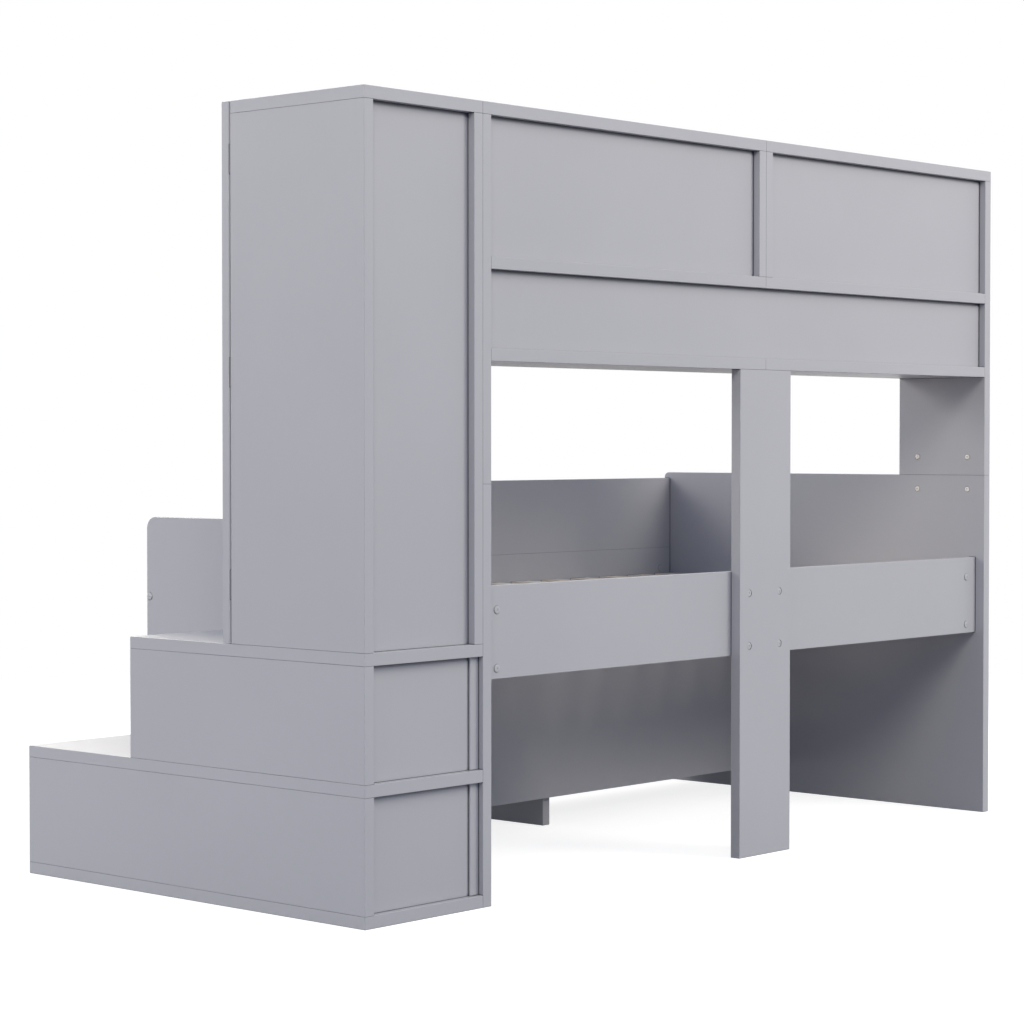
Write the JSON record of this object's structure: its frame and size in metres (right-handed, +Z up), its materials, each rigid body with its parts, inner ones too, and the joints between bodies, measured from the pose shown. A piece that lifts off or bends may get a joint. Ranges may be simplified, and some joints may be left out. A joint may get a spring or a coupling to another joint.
{
  "type": "loft bed",
  "caption": "Mid-height loft bed in grey board with storage steps, a wardrobe, a slatted deck with a front guard, and a shelf unit over the wall side.",
  "frame": {"origin": "centre of the overall box on the floor", "axes": "+Z up; +X along the bed towards the steps and the wardrobe; +Y towards the wall behind the shelf unit, so a person climbs in from -Y"},
  "size_m": [2.318, 1.07, 1.68],
  "materials": {
    "grey_board": "satin grey lacquer",
    "back_sheet": "satin grey foil",
    "slat_wood": "plain sanded pine",
    "drawer_board": "matt foil",
    "runner_plastic": "matt",
    "rod_metal": "polished",
    "knob_metal": "satin",
    "fitting_steel": "zinc plated",
    "hinge_enamel": "satin",
    "cap_plastic": "satin",
    "cam_plastic": "satin"
  },
  "bodies": {
    "frame": {"barrel_nuts": "fitting_steel", "cam_fittings": "cam_plastic", "case_hinge_leaves": "hinge_enamel", "drawer_runners": "runner_plastic", "far_bottom_board": "grey_board", "far_divider": "grey_board", "far_end_panel": "grey_board", "far_shelf_board": "grey_board", "far_top_board": "grey_board", "far_upper_side": "grey_board", "front_guard": "grey_board", "front_rail": "grey_board", "hanging_rod": "rod_metal", "hinge_pins": "hinge_enamel", "leg_bolts": "cap_plastic", "leg_nuts": "fitting_steel", "low_divider": "grey_board", "lower_back": "back_sheet", "lower_step_back": "back_sheet", "lower_step_bottom": "grey_board", "lower_step_inner_side": "grey_board", "lower_step_outer_side": "grey_board", "lower_step_tread": "grey_board", "middle_leg": "grey_board", "near_bottom_board": "grey_board", "near_divider": "grey_board", "near_shelf_board": "grey_board", "near_top_board": "grey_board", "near_upper_side": "grey_board", "nut_caps": "cap_plastic", "rail_bolts": "cap_plastic", "rear_rail": "grey_board", "rod_sockets": "cap_plastic", "slat_ledgers": "slat_wood", "slats": "slat_wood", "stair_end_panel": "grey_board", "storage_back": "grey_board", "storage_bottoms": "grey_board", "storage_divider": "grey_board", "upper_backs": "back_sheet", "upper_step_back": "back_sheet", "upper_step_inner_side": "grey_board", "upper_step_outer_side": "grey_board", "upper_step_tread": "grey_board", "wardrobe_back": "back_sheet", "wardrobe_inner_side": "grey_board", "wardrobe_outer_side": "grey_board", "wardrobe_shelf": "grey_board", "wardrobe_top": "grey_board"},
    "door": {"wardrobe_door": "grey_board", "door_knob": "knob_metal", "door_hinge_leaves": "hinge_enamel"},
    "lower_drawer": {"lower_drawer_front": "grey_board", "lower_drawer_sides": "drawer_board", "lower_drawer_back": "drawer_board", "lower_drawer_bottom": "drawer_board"},
    "upper_drawer": {"upper_drawer_front": "grey_board", "upper_drawer_sides": "drawer_board", "upper_drawer_back": "drawer_board", "upper_drawer_bottom": "drawer_board"}
  },
  "joints": [
    {"name": "door_hinge", "type": "hinge", "parent": "frame", "child": "door", "pos_m": [1.1566, 0.1395, 1.1175], "axis": [0, 0, 1], "range_deg": [0, 105]},
    {"name": "lower_drawer_slide", "type": "slide", "parent": "frame", "child": "lower_drawer", "axis": [0, -1, 0], "range_m": [0, 0.3]},
    {"name": "upper_drawer_slide", "type": "slide", "parent": "frame", "child": "upper_drawer", "axis": [0, -1, 0], "range_m": [0, 0.3]}
  ]
}
